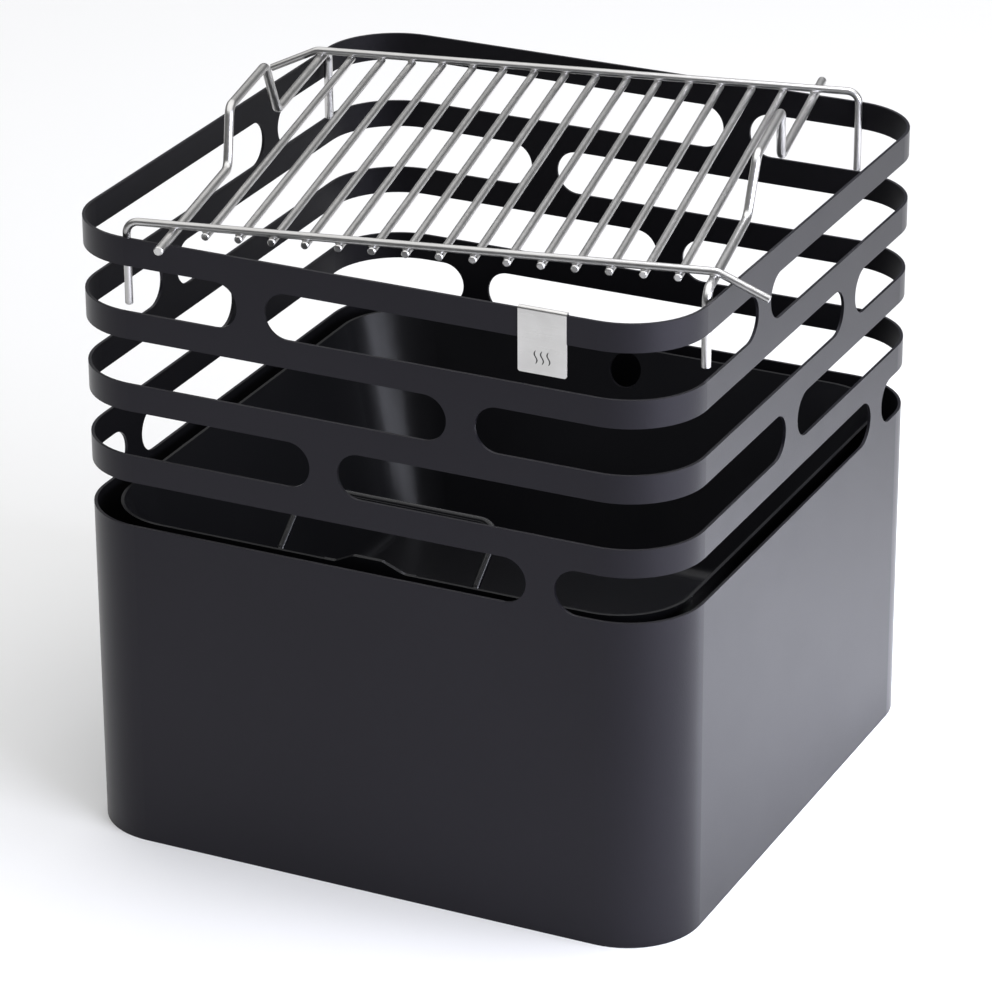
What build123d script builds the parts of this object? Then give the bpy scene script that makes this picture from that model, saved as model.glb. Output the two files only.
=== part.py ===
from build123d import *
import os
from math import atan2, cos, radians, sin, tan

# Square fire basket: an open slotted shell, a lift-out fire pan and a lift-off grill grate.
# Millimetres. The origin is the centre of the shell's base, +Z is up and the badge faces -Y.

os.makedirs("parts", exist_ok=True)

# Shell: one bent sheet, plain below and slotted above
shell_width = 420.0
shell_height = 420.0
shell_corner_radius = 50.0
shell_sheet = 2.0
plain_wall_height = 224.5

# Air slots: they run round the corners and stop at one bridge on each face
slot_height = 30.5
bridge_width = 19.0
bridge_centres = (-72.0, 70.0, -24.0, 123.0)  # from the top row down, seen from outside

# Fire pan
pan_width = 394.0
pan_depth = 140.0
pan_rim_height = 222.0
pan_corner_radius = 48.0
pan_floor_width = 294.0
pan_floor_corner_radius = 32.0
pan_sheet = 2.0
pan_floor_bend = 12.0
tongue_width = 48.0
tongue_top_width = 20.0
tongue_height = 8.0
poker_hole_diameter = 23.0
poker_hole_drop = 15.0

# Carrying handle of the pan
pan_handle_wire = 5.0
pan_handle_spacing = 136.0
pan_handle_reach = 50.0
pan_handle_angle = 38.0  # above horizontal
pan_handle_weld_bottom = 34.0  # below the pan's rim
pan_handle_bend_drop = 7.0  # below the pan's rim
pan_handle_corner_radius = 14.0
pan_handle_foot_radius = 7.0

# Rails that carry the pan: angle section, welded between the front and rear walls
rail_leg = 25.0
rail_sheet = 3.0
rail_offset = 95.0
rail_root_radius = 2.0

# Badge clip
badge_width = 32.0
badge_height = 40.0
badge_sheet = 1.0
badge_inner_height = 14.0
badge_centre = 125.0
badge_corner_radius = 1.5

# Grill grate: its wires are turned in plan, and each half is the other turned by 180 degrees
grate_turn = 11.85
grate_gap = 0.3  # between the handle bars and the shell's rim
bar_wire = 5.0
cross_wire = 5.0
handle_wire = 6.0
bar_count = 15
bar_pitch = 21.1
bar_length = 340.0
cross_spacing = 333.0
wire_bend_radius = 8.0
leg_depth = 46.0  # below the rim
wire_end_chamfer = 0.6

cross_leg_reach = 199.0
hook_start = 171.0
hook_length = 36.0
hook_angle = 25.0  # below horizontal

handle_free_end = -198.0
handle_foot_start = -51.0
handle_grip_start = -35.0
handle_grip_end = 45.0
handle_foot_end = 62.0
handle_rise = 36.0
handle_lean = 2.5
handle_leg_reach = 185.0

# Worked out from the sizes above
half_width = shell_width / 2
inner_half_width = half_width - shell_sheet
straight_half = half_width - shell_corner_radius
slot_pitch = (shell_height - plain_wall_height) / len(bridge_centres)
wall_slope = atan2((pan_width - pan_floor_width) / 2, pan_depth)  # from vertical, in radians
handle_bar_height = grate_gap + handle_wire / 2
cross_wire_height = grate_gap + handle_wire + cross_wire / 2
bar_height = cross_wire_height - cross_wire / 2 - bar_wire / 2
handle_bar_offset = (bar_count + 1) / 2 * bar_pitch


def finish_piece(piece, name):
    """Label a finished piece and write it to its own STEP file."""
    piece.label = name
    export_step(piece, f"parts/{name}.step")


def wall_plane(quarter_turns):
    """Plane on the shell's axis that looks out through one face, with local Y upward."""
    turn = radians(90 * quarter_turns)
    return Plane(
        origin=(0, 0, 0), x_dir=(cos(turn), sin(turn), 0), z_dir=(sin(turn), -cos(turn), 0)
    )


def grate_plane(half_turn):
    """Plane at the height of the shell's rim, turned with the grate."""
    direction = radians(grate_turn + half_turn)
    return Plane(
        origin=(0, 0, shell_height),
        x_dir=(cos(direction), sin(direction), 0),
        z_dir=(0, 0, 1),
    )


# ---------------------------------------------------------------- shell
with BuildPart() as basket_shell:
    with BuildSketch():
        RectangleRounded(shell_width, shell_width, shell_corner_radius)
        offset(amount=-shell_sheet, kind=Kind.ARC, mode=Mode.SUBTRACT)
    extrude(amount=shell_height)
    for row, bridge_centre in enumerate(bridge_centres):
        slot_centre_height = shell_height - (row + 1) * slot_pitch + slot_height / 2
        for quarter_turns in range(4):
            with BuildSketch(wall_plane(quarter_turns).offset(straight_half)):
                for side in (-1, 1):
                    round_centre = bridge_centre + side * (bridge_width + slot_height) / 2
                    slot_run = side * half_width - round_centre
                    with Locations((round_centre + slot_run / 2, slot_centre_height)):
                        Rectangle(abs(slot_run), slot_height)
                    with Locations((round_centre, slot_centre_height)):
                        Circle(slot_height / 2)
            extrude(amount=shell_corner_radius, mode=Mode.SUBTRACT)
finish_piece(basket_shell.part, "basket_shell")

# ---------------------------------------------------------------- fire pan
pan_floor_height = pan_rim_height - pan_depth
front_wall_plane = Plane(
    origin=(0, -pan_width / 2, pan_rim_height),
    x_dir=(1, 0, 0),
    z_dir=(0, -cos(wall_slope), -sin(wall_slope)),
)
pan_wall_run = pan_sheet / cos(wall_slope)  # the wall's thickness measured level
cavity_floor_width = pan_floor_width + 2 * (pan_sheet * tan(wall_slope) - pan_wall_run)
cavity_rim_width = pan_width - 2 * pan_wall_run
with BuildPart() as pan_cavity:
    with BuildSketch(Plane.XY.offset(pan_floor_height + pan_sheet)):
        RectangleRounded(cavity_floor_width, cavity_floor_width, pan_floor_corner_radius - pan_wall_run)
    with BuildSketch(Plane.XY.offset(pan_rim_height)):
        RectangleRounded(cavity_rim_width, cavity_rim_width, pan_corner_radius - pan_wall_run)
    loft(ruled=True)
    fillet(edges().group_by(Axis.Z)[0], pan_floor_bend - pan_sheet)

with BuildPart() as fire_pan:
    with BuildSketch(Plane.XY.offset(pan_floor_height)):
        RectangleRounded(pan_floor_width, pan_floor_width, pan_floor_corner_radius)
    with BuildSketch(Plane.XY.offset(pan_rim_height)):
        RectangleRounded(pan_width, pan_width, pan_corner_radius)
    loft(ruled=True)
    fillet(edges().group_by(Axis.Z)[0], pan_floor_bend)
    add(pan_cavity.part, mode=Mode.SUBTRACT)
    with BuildSketch(Plane.XZ.offset(-pan_width / 2)):
        with Locations((0, pan_rim_height - poker_hole_drop)):
            Circle(poker_hole_diameter / 2)
    extrude(amount=pan_width - pan_floor_width, mode=Mode.SUBTRACT)
    with BuildSketch(front_wall_plane) as tongue:
        with BuildLine():
            Polyline(
                (-tongue_width / 2 - tongue_height, -tongue_height),
                (-tongue_width / 2 - tongue_height, 0),
                (-tongue_width / 2, 0),
                (-tongue_top_width / 2, tongue_height),
                (tongue_top_width / 2, tongue_height),
                (tongue_width / 2, 0),
                (tongue_width / 2 + tongue_height, 0),
                (tongue_width / 2 + tongue_height, -tongue_height),
                close=True,
            )
        make_face()
        shoulder_points = tongue.vertices().filter_by(
            lambda point: abs(point.X) < tongue_width / 2 + 1
        )
        fillet(shoulder_points, tongue_height)
    extrude(amount=-pan_sheet)
finish_piece(fire_pan.part, "fire_pan")

# ---------------------------------------------------------------- pan handle
weld_line_offset = pan_wall_run + pan_handle_wire / 2 / cos(wall_slope)


def wall_point(drop):
    """Y and Z of the handle wire's centre where it lies on the front wall's inside."""
    depth_shift = drop * tan(wall_slope)
    return (-pan_width / 2 + weld_line_offset + depth_shift, pan_rim_height - drop)


foot_y, foot_z = wall_point(pan_handle_weld_bottom)
bend_y, bend_z = wall_point(pan_handle_bend_drop)
grip_y = bend_y + pan_handle_reach * cos(radians(pan_handle_angle))
grip_z = bend_z + pan_handle_reach * sin(radians(pan_handle_angle))
handle_side = pan_handle_spacing / 2
with BuildPart() as pan_handle:
    with BuildLine() as handle_route:
        FilletPolyline(
            (-handle_side, foot_y, foot_z),
            (-handle_side, bend_y, bend_z),
            (-handle_side, grip_y, grip_z),
            (handle_side, grip_y, grip_z),
            (handle_side, bend_y, bend_z),
            (handle_side, foot_y, foot_z),
            radius=(
                pan_handle_foot_radius,
                pan_handle_corner_radius,
                pan_handle_corner_radius,
                pan_handle_foot_radius,
            ),
        )
    with BuildSketch(Plane(origin=handle_route.line @ 0, z_dir=handle_route.line % 0)):
        Circle(pan_handle_wire / 2)
    sweep(path=handle_route.line)
finish_piece(pan_handle.part, "pan_handle")

# ---------------------------------------------------------------- pan rails
for rail_name, rail_side in (("left_pan_rail", -1), ("right_pan_rail", 1)):
    with BuildPart() as pan_rail:
        with BuildSketch(Plane.XZ.offset(-inner_half_width)):
            with BuildLine():
                Polyline(
                    (rail_side * rail_offset, pan_floor_height),
                    (rail_side * (rail_offset + rail_leg), pan_floor_height),
                    (rail_side * (rail_offset + rail_leg), pan_floor_height - rail_leg),
                    (rail_side * (rail_offset + rail_leg - rail_sheet), pan_floor_height - rail_leg),
                    (rail_side * (rail_offset + rail_leg - rail_sheet), pan_floor_height - rail_sheet),
                    (rail_side * rail_offset, pan_floor_height - rail_sheet),
                    close=True,
                )
            make_face()
        extrude(amount=2 * inner_half_width)
        outer_edge = edges().filter_by(Axis.Y).sort_by(
            lambda edge: rail_side * edge.center().X + edge.center().Z
        )[-1]
        fillet(outer_edge, rail_root_radius)
    finish_piece(pan_rail.part, rail_name)

# ---------------------------------------------------------------- badge clip
clip_centre = -half_width + shell_sheet / 2
clip_inner_radius = shell_sheet / 2
clip_outer_radius = clip_inner_radius + badge_sheet
with BuildPart() as badge_clip:
    with BuildSketch(Plane.YZ.offset(badge_centre - badge_width / 2)):
        with Locations((clip_centre, shell_height)):
            Circle(clip_outer_radius)
            Circle(clip_inner_radius, mode=Mode.SUBTRACT)
        with Locations((clip_centre, shell_height)):
            Rectangle(
                2 * clip_outer_radius,
                clip_outer_radius,
                align=(Align.CENTER, Align.MAX),
                mode=Mode.SUBTRACT,
            )
        with Locations((clip_centre - clip_inner_radius, shell_height)):
            Rectangle(badge_sheet, badge_height, align=(Align.MAX, Align.MAX))
        with Locations((clip_centre + clip_inner_radius, shell_height)):
            Rectangle(badge_sheet, badge_inner_height, align=(Align.MIN, Align.MAX))
    extrude(amount=badge_width)
    plate_corners = edges().filter_by(Axis.Y).group_by(Axis.Z)[0]
    fillet(plate_corners, badge_corner_radius)
finish_piece(badge_clip.part, "badge_clip")

# ---------------------------------------------------------------- grate bars
for bar_number in range(bar_count):
    bar_offset = (bar_number - (bar_count - 1) / 2) * bar_pitch
    bar_start_plane = grate_plane(0) * Plane(
        origin=(bar_offset, -bar_length / 2, bar_height), x_dir=(1, 0, 0), z_dir=(0, 1, 0)
    ).location
    with BuildPart() as grate_bar:
        with BuildSketch(Plane(bar_start_plane)):
            Circle(bar_wire / 2)
        extrude(amount=bar_length)
        chamfer(faces().filter_by(GeomType.PLANE).edges(), wire_end_chamfer)
    finish_piece(grate_bar.part, f"grate_bar_{bar_number + 1:02d}")

# ---------------------------------------------------------------- cross wires
hook_fall = hook_length * sin(radians(hook_angle))
hook_run = hook_length * cos(radians(hook_angle))
cross_route = (
    (-cross_leg_reach, -cross_spacing / 2, -leg_depth),
    (-cross_leg_reach, -cross_spacing / 2, cross_wire_height),
    (hook_start, -cross_spacing / 2, cross_wire_height),
    (hook_start + hook_run, -cross_spacing / 2, cross_wire_height - hook_fall),
)

# ---------------------------------------------------------------- handle bars
grip_height = handle_bar_height + handle_rise
handle_bar_route = (
    (-handle_bar_offset, handle_free_end, handle_bar_height),
    (-handle_bar_offset, handle_foot_start, handle_bar_height),
    (-handle_bar_offset - handle_lean, handle_grip_start, grip_height),
    (-handle_bar_offset - handle_lean, handle_grip_end, grip_height),
    (-handle_bar_offset, handle_foot_end, handle_bar_height),
    (-handle_bar_offset, handle_leg_reach, handle_bar_height),
    (-handle_bar_offset, handle_leg_reach, -leg_depth),
)

# ---------------------------------------------------------------- bent wires of the grate
bent_wires = (
    ("front_cross_wire", 0, cross_route, cross_wire),
    ("rear_cross_wire", 180, cross_route, cross_wire),
    ("left_handle_bar", 0, handle_bar_route, handle_wire),
    ("right_handle_bar", 180, handle_bar_route, handle_wire),
)
for wire_name, half_turn, route_points, wire_diameter in bent_wires:
    with BuildPart() as bent_wire:
        with BuildLine(grate_plane(half_turn)) as wire_route:
            FilletPolyline(*route_points, radius=wire_bend_radius)
        with BuildSketch(Plane(origin=wire_route.line @ 0, z_dir=wire_route.line % 0)):
            Circle(wire_diameter / 2)
        sweep(path=wire_route.line)
        chamfer(faces().filter_by(GeomType.PLANE).edges(), wire_end_chamfer)
    finish_piece(bent_wire.part, wire_name)
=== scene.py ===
import bmesh
import bpy
import math
from mathutils import Matrix, Vector, noise


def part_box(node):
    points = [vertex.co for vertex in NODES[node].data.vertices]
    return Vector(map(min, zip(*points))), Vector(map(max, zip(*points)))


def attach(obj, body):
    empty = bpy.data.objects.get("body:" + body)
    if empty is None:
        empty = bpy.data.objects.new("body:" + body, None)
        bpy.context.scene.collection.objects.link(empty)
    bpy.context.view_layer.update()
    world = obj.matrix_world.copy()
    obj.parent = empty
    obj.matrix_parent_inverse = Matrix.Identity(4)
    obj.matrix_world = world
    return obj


# Studio scene of a square fire basket with its fire pan and stainless grill grate,
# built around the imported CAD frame. Lengths are in metres unless a name says otherwise.
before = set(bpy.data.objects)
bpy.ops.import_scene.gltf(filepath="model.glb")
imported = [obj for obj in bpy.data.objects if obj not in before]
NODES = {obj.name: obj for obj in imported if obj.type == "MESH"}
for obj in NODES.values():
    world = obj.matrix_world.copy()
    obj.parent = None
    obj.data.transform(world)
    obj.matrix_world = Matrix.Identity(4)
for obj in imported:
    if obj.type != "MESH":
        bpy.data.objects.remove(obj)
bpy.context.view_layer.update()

# Places read from the frame
SHELL_LOW, SHELL_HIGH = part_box("basket_shell")
BADGE_LOW, BADGE_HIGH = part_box("badge_clip")
PAN_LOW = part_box("fire_pan")[0]
HANDLE_LOW, HANDLE_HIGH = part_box("pan_handle")
RAIL_LOW, RAIL_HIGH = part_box("right_pan_rail")
BAR_NAMES = sorted(name for name in NODES if name.startswith("grate_bar_"))
CROSS_NAMES = ("front_cross_wire", "rear_cross_wire")
HANDLE_BAR_NAMES = ("left_handle_bar", "right_handle_bar")

# Sizes of the CAD parts that the added pieces follow
SHELL_SHEET = 0.002
PLAIN_WALL_HEIGHT = 0.2245
SLOT_HEIGHT = 0.0305
SLOT_ROWS = 4
GRATE_TURN = math.radians(11.85)
CROSS_SPACING = 0.333
BAR_PITCH = 0.0211
PAN_DEPTH = 0.140
PAN_WALL_LEAN = 0.050
PAN_SLOPE = math.atan2(PAN_WALL_LEAN, PAN_DEPTH)
PAN_SHEET = 0.002
PAN_WIRE_DIAMETER = 0.005
RAIL_SHEET = 0.003

# Sizes of the added pieces
EDGE_ROUNDING = 0.0004
NUGGET_RADIUS = 0.0024
NUGGET_HALF_HEIGHT = 0.0011
HANDLE_BEAD_RADIUS = 0.0014
HANDLE_BEAD_RIPPLE = 0.0016
HANDLE_BEAD_SPAN = (0.014, 0.031)
RAIL_BEAD_RADIUS = 0.0016
RAIL_BEAD_RIPPLE = 0.002
SEAM_Y = 0.155
SEAM_RADIUS = 0.0014
SEAM_RIPPLE = 0.0024
SEAM_SUNK = 0.0006
SEAM_WALL_GAP = 0.001
SEAM_BAND_GAP = 0.0008

# The basket's coat on faces that look inwards: its roughness, as a grey for a mix node,
# and the parts of the coat's dark colour that its cloudiness runs between, which paint shade on the
# inside of the basket
INSIDE_ROUGHNESS = (0.6, 0.6, 0.6, 1.0)
INSIDE_PAINTED_SHADE = (0.10, 0.20)

# Slightly blue light, as on the photographed walls
COOL_LIGHT = (0.86, 0.88, 1.0)

# Camera, matched to the photograph's viewing angle
CAMERA_PLACE = (1.24259, -2.588576, 1.495832)
CAMERA_AZIMUTH = math.radians(25.78)
CAMERA_ELEVATION = math.radians(24.454)
CAMERA_ROLL = math.radians(-0.30)
LENS_MM = 174.38
SENSOR_MM = 36.0


# ---------------------------------------------------------------- materials
class NodeSheet:
    """Small helper that adds and links shader nodes in one material."""

    def __init__(self, name):
        self.material = bpy.data.materials.new(name)
        self.material.use_nodes = True
        self.tree = self.material.node_tree
        self.tree.nodes.clear()
        self.output = self.tree.nodes.new("ShaderNodeOutputMaterial")
        self.shader = self.tree.nodes.new("ShaderNodeBsdfPrincipled")
        self.join(self.shader.outputs["BSDF"], self.output.inputs["Surface"])
        places = self.tree.nodes.new("ShaderNodeTexCoord")
        self.coordinates = places.outputs["Object"]
        self.normals = places.outputs["Normal"]

    def join(self, source, target):
        self.tree.links.new(source, target)

    def placed(self, scale=(1, 1, 1), turn=(0, 0, 0)):
        """Object coordinates, turned and then scaled."""
        mapping = self.tree.nodes.new("ShaderNodeMapping")
        mapping.inputs["Scale"].default_value = scale
        mapping.inputs["Rotation"].default_value = turn
        self.join(self.coordinates, mapping.inputs["Vector"])
        return mapping.outputs["Vector"]

    def noise(self, scale, detail=3.0, roughness=0.5, vector=None):
        node = self.tree.nodes.new("ShaderNodeTexNoise")
        node.inputs["Scale"].default_value = scale
        node.inputs["Detail"].default_value = detail
        node.inputs["Roughness"].default_value = roughness
        self.join(vector or self.coordinates, node.inputs["Vector"])
        return node.outputs["Fac"]

    def between(self, value, low, high, from_low=0.3, from_high=0.7):
        """Remap a mask to a range of plain numbers."""
        node = self.tree.nodes.new("ShaderNodeMapRange")
        node.inputs["From Min"].default_value = from_low
        node.inputs["From Max"].default_value = from_high
        node.inputs["To Min"].default_value = low
        node.inputs["To Max"].default_value = high
        self.join(value, node.inputs["Value"])
        return node.outputs["Result"]

    def ramp(self, value, stops):
        """Colour ramp through (position, colour) stops."""
        node = self.tree.nodes.new("ShaderNodeValToRGB")
        while len(node.color_ramp.elements) < len(stops):
            node.color_ramp.elements.new(0.5)
        for element, (position, colour) in zip(node.color_ramp.elements, stops):
            element.position = position
            element.color = (*colour, 1.0)
        self.join(value, node.inputs["Fac"])
        return node.outputs["Color"]

    def mixed(self, factor, first, second):
        """Mix two colours, each a socket or a constant."""
        node = self.tree.nodes.new("ShaderNodeMix")
        node.data_type = "RGBA"
        # In colour mode the mix node's factor and two colours are inputs 0, 6 and 7
        for number, value in ((0, factor), (6, first), (7, second)):
            if hasattr(value, "is_linked"):
                self.join(value, node.inputs[number])
            else:
                node.inputs[number].default_value = value
        return node.outputs[2]

    def inward(self):
        """Mask that is 1 on faces that look towards the vertical axis and 0 on the others."""
        flat = self.tree.nodes.new("ShaderNodeVectorMath")
        flat.operation = "MULTIPLY"
        flat.inputs[1].default_value = (-1, -1, 0)
        self.join(self.coordinates, flat.inputs[0])
        facing = self.tree.nodes.new("ShaderNodeVectorMath")
        facing.operation = "DOT_PRODUCT"
        self.join(flat.outputs["Vector"], facing.inputs[0])
        self.join(self.normals, facing.inputs[1])
        return self.between(facing.outputs["Value"], 0.0, 1.0, 0.0, 0.01)

    def bump(self, height, distance, strength, normal=None):
        node = self.tree.nodes.new("ShaderNodeBump")
        node.inputs["Distance"].default_value = distance
        node.inputs["Strength"].default_value = strength
        self.join(height, node.inputs["Height"])
        if normal:
            self.join(normal, node.inputs["Normal"])
        return node.outputs["Normal"]


def powder_coat(name, dark, light, roughness):
    """Powder coat with fine orange peel and faint clouds, duller on inward faces and much darker
    there as painted shade.
    """
    sheet = NodeSheet(name)
    sheet.shader.inputs["Specular IOR Level"].default_value = 0.24
    sheet.shader.inputs["Specular Tint"].default_value = (0.92, 0.89, 1.0, 1.0)
    cloud = sheet.noise(6.0, detail=4.0)
    peel = sheet.noise(900.0, detail=2.0)
    sparkle = sheet.noise(3200.0, detail=1.0)
    base = sheet.ramp(cloud, ((0.3, dark), (0.7, light)))
    speck = sheet.between(sparkle, 0.0, 0.3, 0.62, 0.8)
    colour = sheet.mixed(speck, base, (*[channel * 1.9 for channel in light], 1.0))
    inside = sheet.inward()
    # Inward faces get a far darker colour: painted shade for the inside of the basket
    shaded_inner_colours = [(*[channel * part for channel in dark], 1.0) for part in INSIDE_PAINTED_SHADE]
    painted_inner_shade = sheet.mixed(cloud, *shaded_inner_colours)
    sheet.join(sheet.mixed(inside, colour, painted_inner_shade), sheet.shader.inputs["Base Color"])
    smudge = sheet.noise(14.0, detail=5.0, roughness=0.6)
    outer_gloss = sheet.between(smudge, roughness - 0.015, roughness + 0.02)
    sheet.join(sheet.mixed(inside, outer_gloss, INSIDE_ROUGHNESS), sheet.shader.inputs["Roughness"])
    coarse = sheet.bump(peel, distance=0.00012, strength=0.35)
    fine = sheet.bump(sparkle, distance=0.00004, strength=0.25, normal=coarse)
    sheet.join(fine, sheet.shader.inputs["Normal"])
    return sheet.material


def pan_coat(name, dark, light, roughness, specular=0.22):
    """Satin black coat on pressed steel or wire, with faint vertical drawing marks."""
    sheet = NodeSheet(name)
    sheet.shader.inputs["Specular IOR Level"].default_value = specular
    cloud = sheet.noise(9.0, detail=5.0)
    base = sheet.ramp(cloud, ((0.3, dark), (0.72, light)))
    sheet.join(base, sheet.shader.inputs["Base Color"])
    drawn = sheet.noise(70.0, detail=3.0, vector=sheet.placed(scale=(1, 1, 0.08)))
    gloss = sheet.between(drawn, roughness - 0.01, roughness + 0.02)
    sheet.join(gloss, sheet.shader.inputs["Roughness"])
    peel = sheet.noise(650.0, detail=2.0)
    sheet.join(sheet.bump(peel, distance=0.00005, strength=0.15), sheet.shader.inputs["Normal"])
    return sheet.material


def drawn_wire(name, turn, tone, roughness=0.32):
    """Stainless wire with fine drawing lines along it; turn is the wire's direction in plan."""
    sheet = NodeSheet(name)
    sheet.shader.inputs["Metallic"].default_value = 1.0
    along = sheet.placed(scale=(0.05, 1.0, 1.0), turn=(0, 0, -turn))
    lines = sheet.noise(900.0, detail=3.0, vector=along)
    cloud = sheet.noise(22.0, detail=4.0)
    dark = (tone * 0.93, tone * 0.92, tone * 0.90)
    light = (tone * 1.05, tone * 1.04, tone * 1.02)
    sheet.join(sheet.ramp(cloud, ((0.28, dark), (0.7, light))), sheet.shader.inputs["Base Color"])
    gloss = sheet.between(lines, roughness - 0.04, roughness + 0.06)
    sheet.join(gloss, sheet.shader.inputs["Roughness"])
    sheet.join(sheet.bump(lines, distance=0.00003, strength=0.2), sheet.shader.inputs["Normal"])
    return sheet.material


def brushed_sheet(name, tone, roughness=0.3):
    """Brushed stainless sheet with a fine level grain."""
    sheet = NodeSheet(name)
    sheet.shader.inputs["Metallic"].default_value = 1.0
    level = sheet.placed(scale=(1.0, 1.0, 60.0))
    grain = sheet.noise(30.0, detail=6.0, roughness=0.7, vector=level)
    cloud = sheet.noise(40.0, detail=3.0)
    dark = (tone * 0.9, tone * 0.89, tone * 0.87)
    light = (tone * 1.06, tone * 1.05, tone * 1.03)
    sheet.join(sheet.ramp(cloud, ((0.3, dark), (0.7, light))), sheet.shader.inputs["Base Color"])
    gloss = sheet.between(grain, roughness - 0.05, roughness + 0.07)
    sheet.join(gloss, sheet.shader.inputs["Roughness"])
    sheet.join(sheet.bump(grain, distance=0.00002, strength=0.2), sheet.shader.inputs["Normal"])
    return sheet.material


COAT = powder_coat("charcoal_powder_coat", (0.0048, 0.0046, 0.0064), (0.0062, 0.0060, 0.0082), 0.31)
# Lighter copy of the coat for the rounded sheet edges: a painted highlight along them
COAT_EDGE_HIGHLIGHT = powder_coat("charcoal_coat_painted_edge_highlight", (0.012, 0.012, 0.014), (0.020, 0.020, 0.023), 0.42)
PAN_COAT = pan_coat("black_pan_coat", (0.0046, 0.0046, 0.0054), (0.0062, 0.0062, 0.0072), 0.29)
# Slightly lighter copy of the pan coat for the pan's rounded edges: a painted highlight along the
# rim
PAN_EDGE_HIGHLIGHT = pan_coat("black_pan_painted_edge_highlight", (0.005, 0.005, 0.0055), (0.009, 0.009, 0.010), 0.36)
PAN_WIRE = pan_coat(
    "black_wire_coat", (0.004, 0.004, 0.005), (0.006, 0.006, 0.007), 0.17, specular=0.42
)
BAR_STEEL = drawn_wire("bar_stainless", GRATE_TURN + math.pi / 2, tone=0.62)
# The cross wires take a darker copy of the bar steel: painted shade that tones down the brighter
# highlights they catch from the light above
CROSS_STEEL_PAINTED_SHADE = drawn_wire("cross_stainless_painted_shade", GRATE_TURN, tone=0.47)
BADGE_STEEL = brushed_sheet("badge_stainless", tone=0.65)
WELD_STEEL = drawn_wire("weld_stainless", GRATE_TURN, tone=0.42, roughness=0.38)
ETCHED_STEEL = brushed_sheet("badge_etched_mark", tone=0.05, roughness=0.5)


# ---------------------------------------------------------------- carried-over CAD nodes
def finish_node(name, material, edge_highlight_material=None):
    """Give a CAD node its material and, where an edge material is named, rounded edges that take
    that lighter material as a painted highlight.
    """
    piece = NODES[name]
    piece.data.materials.clear()
    piece.data.materials.append(material)
    if edge_highlight_material:
        piece.data.materials.append(edge_highlight_material)
        rounding = piece.modifiers.new("edge_rounding", "BEVEL")
        rounding.width = EDGE_ROUNDING
        rounding.segments = 2
        rounding.limit_method = "ANGLE"
        rounding.angle_limit = math.radians(40)
        # The rounded edges take the lighter edge material, a painted highlight
        rounding.material = 1
        rounding.harden_normals = False


finish_node("basket_shell", COAT, COAT_EDGE_HIGHLIGHT)
finish_node("left_pan_rail", COAT)
finish_node("right_pan_rail", COAT)
finish_node("fire_pan", PAN_COAT, PAN_EDGE_HIGHLIGHT)
finish_node("pan_handle", PAN_WIRE)
finish_node("badge_clip", BADGE_STEEL)
for node_name in BAR_NAMES + list(HANDLE_BAR_NAMES):
    finish_node(node_name, BAR_STEEL)
for node_name in CROSS_NAMES:
    finish_node(node_name, CROSS_STEEL_PAINTED_SHADE)


# ---------------------------------------------------------------- welds, seam and badge mark
def mesh_piece(name, mesh_build, material, body):
    """Turn a bmesh into a smooth-shaded piece that rides on a body."""
    mesh = bpy.data.meshes.new(name)
    bmesh.ops.recalc_face_normals(mesh_build, faces=mesh_build.faces)
    mesh_build.to_mesh(mesh)
    mesh_build.free()
    mesh.materials.append(material)
    for face in mesh.polygons:
        face.use_smooth = True
    piece = bpy.data.objects.new(name, mesh)
    bpy.context.scene.collection.objects.link(piece)
    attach(piece, body)


def add_nugget(mesh_build, place):
    """Lumpy flattened weld nugget between two crossed wires of the grate."""
    ball = bmesh.ops.create_icosphere(mesh_build, subdivisions=3, radius=1.0)
    spin = Matrix.Rotation(GRATE_TURN, 3, "Z")
    for vertex in ball["verts"]:
        direction = vertex.co.normalized()
        lump = 1.0 + 0.16 * noise.noise(direction * 1.7 + place * 900.0)
        four_way = 1.0 + 0.14 * math.cos(4 * math.atan2(direction.y, direction.x) + math.pi)
        reach = four_way * NUGGET_RADIUS
        flat = Vector((direction.x * reach, direction.y * reach, direction.z * NUGGET_HALF_HEIGHT))
        vertex.co = place + spin @ (flat * lump)


def add_bead(mesh_build, start, end, radius, ripple_pitch, ripple_depth=0.16, sides=12):
    """Rippled weld bead along a straight line, closed and tapered at both ends."""
    line = end - start
    length = line.length
    turn = line.to_track_quat("Z", "Y").to_matrix()
    step_count = max(12, round(length / ripple_pitch * 8))
    rings = []
    for step in range(step_count + 1):
        run = length * step / step_count
        ripple = 1.0 - ripple_depth * abs(math.cos(math.pi * run / ripple_pitch))
        taper = math.sqrt(max(0.04, 1.0 - max(0.0, 1.0 - min(run, length - run) / radius) ** 2))
        sway = 0.12 * radius * noise.noise(start * 700.0 + Vector((0, 0, run * 300.0)))
        ring = []
        for side in range(sides):
            angle = 2 * math.pi * side / sides
            round_place = Vector((math.cos(angle) + sway / radius, math.sin(angle), 0))
            offset = round_place * radius * ripple * taper
            ring.append(mesh_build.verts.new(start + turn @ (offset + Vector((0, 0, run)))))
        rings.append(ring)
    for ring, next_ring in zip(rings, rings[1:]):
        for side in range(sides):
            after = (side + 1) % sides
            mesh_build.faces.new((ring[side], ring[after], next_ring[after], next_ring[side]))
    mesh_build.faces.new(rings[0])
    mesh_build.faces.new(rings[-1])


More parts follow.
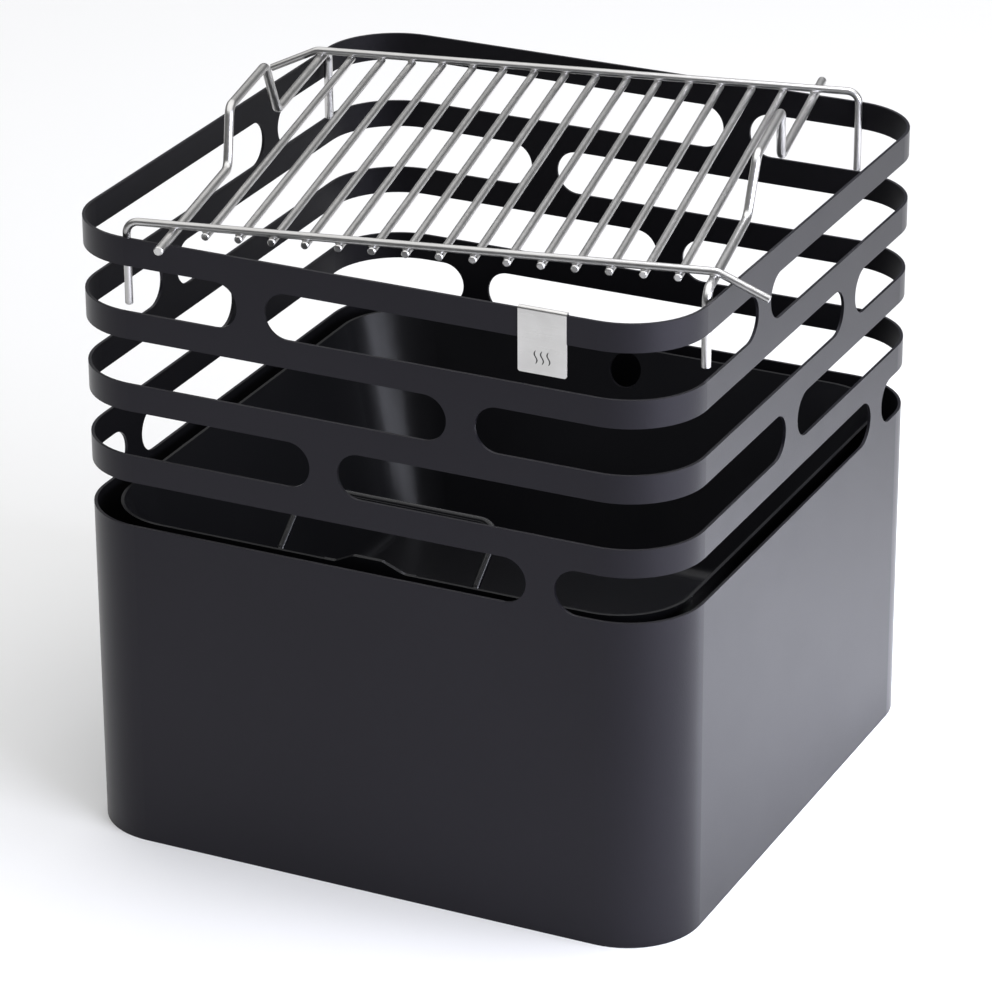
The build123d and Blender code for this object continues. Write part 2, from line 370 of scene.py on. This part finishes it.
def add_grate_welds():
    """Resistance weld nuggets where the cross wires lie on the bars and the handle bars."""
    across = Vector((math.cos(GRATE_TURN), math.sin(GRATE_TURN), 0))
    along = Vector((-math.sin(GRATE_TURN), math.cos(GRATE_TURN), 0))
    bar_low, bar_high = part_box(BAR_NAMES[len(BAR_NAMES) // 2])
    middle = Vector(((bar_low.x + bar_high.x) / 2, (bar_low.y + bar_high.y) / 2, bar_high.z))
    welds = bmesh.new()
    wire_count = len(BAR_NAMES) + len(HANDLE_BAR_NAMES)
    for number in range(wire_count):
        sideways = (number - (wire_count - 1) / 2) * BAR_PITCH
        for end in (-1, 1):
            place = middle + across * sideways + along * (end * CROSS_SPACING / 2)
            add_nugget(welds, place)
    mesh_piece("grate_weld_nuggets", welds, WELD_STEEL, "grate")


def add_handle_welds():
    """Two beads along each leg of the pan handle, where it lies on the pan's front wall."""
    welds = bmesh.new()
    wire_radius = PAN_WIRE_DIAMETER / 2
    wall_tilt = Vector((0, math.sin(PAN_SLOPE), -math.cos(PAN_SLOPE)))
    wall_out = Vector((0, math.cos(PAN_SLOPE), math.sin(PAN_SLOPE)))
    wall_top = Vector((0, PAN_LOW.y + PAN_SHEET / math.cos(PAN_SLOPE), PAN_LOW.z + PAN_DEPTH))
    bead_start, bead_end = HANDLE_BEAD_SPAN
    bead_spread = 0.95 * wire_radius
    bead_lift = 0.25 * wire_radius
    for leg_x in (HANDLE_LOW.x + wire_radius, HANDLE_HIGH.x - wire_radius):
        for side in (-1, 1):
            base = wall_top + Vector((leg_x + side * bead_spread, 0, 0)) + wall_out * bead_lift
            start, end = base + wall_tilt * bead_start, base + wall_tilt * bead_end
            add_bead(welds, start, end, HANDLE_BEAD_RADIUS, HANDLE_BEAD_RIPPLE)
    mesh_piece("pan_handle_welds", welds, PAN_COAT, "pan")


def add_rail_welds():
    """Beads where both legs of each pan rail meet the front and rear walls."""
    welds = bmesh.new()
    flange_height = RAIL_HIGH.z - RAIL_SHEET
    for side in (-1, 1):
        for end_y in (RAIL_LOW.y, RAIL_HIGH.y):
            outer_x = side * (RAIL_HIGH.x - RAIL_SHEET)
            flange_end = Vector((side * RAIL_LOW.x, end_y, flange_height))
            corner = Vector((outer_x, end_y, flange_height))
            foot = Vector((outer_x, end_y, RAIL_LOW.z))
            for start, end in ((flange_end, corner), (corner, foot)):
                add_bead(welds, start, end, RAIL_BEAD_RADIUS, RAIL_BEAD_RIPPLE)
    mesh_piece("rail_welds", welds, COAT, "basket")


def add_shell_seam():
    """Low vertical weld line inside the right wall, broken where the air slots cross it."""
    pitch = (SHELL_HIGH.z - PLAIN_WALL_HEIGHT) / SLOT_ROWS
    spans = [(SHELL_LOW.z + SEAM_WALL_GAP, PLAIN_WALL_HEIGHT - SEAM_WALL_GAP)]
    for row in range(SLOT_ROWS):
        band_low = PLAIN_WALL_HEIGHT + row * pitch + SLOT_HEIGHT
        band_high = PLAIN_WALL_HEIGHT + (row + 1) * pitch
        spans.append((band_low + SEAM_BAND_GAP, band_high - SEAM_BAND_GAP))
    seam_x = SHELL_HIGH.x - SHELL_SHEET + SEAM_SUNK
    seam = bmesh.new()
    for low, high in spans:
        start, end = Vector((seam_x, SEAM_Y, low)), Vector((seam_x, SEAM_Y, high))
        add_bead(seam, start, end, SEAM_RADIUS, SEAM_RIPPLE, ripple_depth=0.05)
    mesh_piece("shell_seam", seam, COAT, "basket")


def add_badge_mark():
    """Generic heat mark on the badge: three short wavy lines, a little proud and dark."""
    mark = bmesh.new()
    wave_height = 0.0085
    wave_swing = 0.0009
    wave_pitch = 0.0042
    line_width = 0.0009
    # Each line reaches from sunk_depth inside the badge to proud_height in front of it
    sunk_depth = 0.0001
    proud_height = 0.00005
    centre_x = (BADGE_LOW.x + BADGE_HIGH.x) / 2
    mark_rise = 0.0065
    bottom_z = BADGE_LOW.z + mark_rise
    corners = ((-1, sunk_depth), (-1, -proud_height), (1, -proud_height), (1, sunk_depth))
    steps = 28
    for wave in (-1, 0, 1):
        rows = []
        for step in range(steps + 1):
            part = step / steps
            middle = centre_x + wave * wave_pitch + wave_swing * math.sin(2 * math.pi * part)
            half_line = line_width / 2 * math.sqrt(max(0.05, 1.0 - (2 * part - 1) ** 4))
            height = bottom_z + wave_height * part
            row = []
            for side, depth in corners:
                row.append(mark.verts.new((middle + side * half_line, BADGE_LOW.y + depth, height)))
            rows.append(row)
        for row, next_row in zip(rows, rows[1:]):
            for side in range(4):
                after = (side + 1) % 4
                mark.faces.new((row[side], row[after], next_row[after], next_row[side]))
        mark.faces.new(rows[0])
        mark.faces.new(rows[-1])
    mesh_piece("badge_heat_mark", mark, ETCHED_STEEL, "basket")


add_grate_welds()
add_handle_welds()
add_rail_welds()
add_shell_seam()
add_badge_mark()


# ---------------------------------------------------------------- stage, lights and camera
def add_floor():
    """Plain pale floor."""
    reach = 12.0
    mesh = bpy.data.meshes.new("studio_floor")
    corners = [(-reach, -reach, 0), (reach, -reach, 0), (reach, reach, 0), (-reach, reach, 0)]
    mesh.from_pydata(corners, [], [(0, 1, 2, 3)])
    floor = bpy.data.objects.new("studio_floor", mesh)
    bpy.context.scene.collection.objects.link(floor)
    sheet = NodeSheet("pale_floor")
    sheet.shader.inputs["Roughness"].default_value = 0.7
    tone = sheet.noise(0.8, detail=2.0)
    colour = sheet.ramp(tone, ((0.0, (0.92, 0.92, 0.92)), (1.0, (0.94, 0.94, 0.94))))
    sheet.join(colour, sheet.shader.inputs["Base Color"])
    mesh.materials.append(sheet.material)


def add_softbox(name, place, target, size, watts, spread=180.0, colour=(1.0, 1.0, 1.0)):
    """Rectangular area light that faces a target; spread is its opening angle in degrees."""
    light = bpy.data.lights.new(name, "AREA")
    light.shape = "RECTANGLE"
    light.size, light.size_y = size
    light.energy = watts
    light.spread = math.radians(spread)
    light.color = colour
    lamp = bpy.data.objects.new(name, light)
    lamp.location = place
    direction = Vector(target) - Vector(place)
    lamp.rotation_euler = direction.to_track_quat("-Z", "Y").to_euler()
    bpy.context.scene.collection.objects.link(lamp)


def add_world(strength):
    """Even pale surroundings, dim beside the lights."""
    world = bpy.data.worlds.new("studio")
    world.use_nodes = True
    background = world.node_tree.nodes["Background"]
    background.inputs["Color"].default_value = (0.97, 0.98, 1.0, 1.0)
    background.inputs["Strength"].default_value = strength
    bpy.context.scene.world = world


def add_camera():
    """Long lens, a little above the basket, turned towards its front right corner."""
    camera_data = bpy.data.cameras.new("view")
    camera_data.sensor_width = SENSOR_MM
    camera_data.lens = LENS_MM
    camera = bpy.data.objects.new("view", camera_data)
    back = Vector((
        math.sin(CAMERA_AZIMUTH) * math.cos(CAMERA_ELEVATION),
        -math.cos(CAMERA_AZIMUTH) * math.cos(CAMERA_ELEVATION),
        math.sin(CAMERA_ELEVATION),
    ))
    level_right = Vector((math.cos(CAMERA_AZIMUTH), math.sin(CAMERA_AZIMUTH), 0))
    level_up = back.cross(level_right)
    right = level_right * math.cos(CAMERA_ROLL) + level_up * math.sin(CAMERA_ROLL)
    up = back.cross(right)
    turned = Matrix((right, up, back)).transposed().to_4x4()
    camera.matrix_world = Matrix.Translation(CAMERA_PLACE) @ turned
    bpy.context.scene.collection.objects.link(camera)
    bpy.context.scene.camera = camera


add_floor()
add_world(0.12)
# Narrow pool on the floor beside the right wall, which mirrors it
add_softbox(
    "right_floor_box",
    place=(0.38, 0.19, 1.3),
    target=(0.38, 0.19, 0.0),
    size=(0.5, 0.6),
    watts=2.35,
    spread=45.0,
    colour=COOL_LIGHT,
)
# Broad light from above
add_softbox(
    "top_box",
    place=(-0.1, 0.8, 3.0),
    target=(-0.1, 0.8, 0.0),
    size=(7.0, 7.0),
    watts=214.0,
)
# Side light that brightens the right wall and its rounded corner
add_softbox(
    "right_box",
    place=(1.95, -0.42, 0.70),
    target=(-0.17, 0.10, 0.17),
    size=(1.9, 1.1),
    watts=69.0,
    colour=COOL_LIGHT,
)
add_camera()
bpy.context.scene.view_settings.view_transform = "Standard"
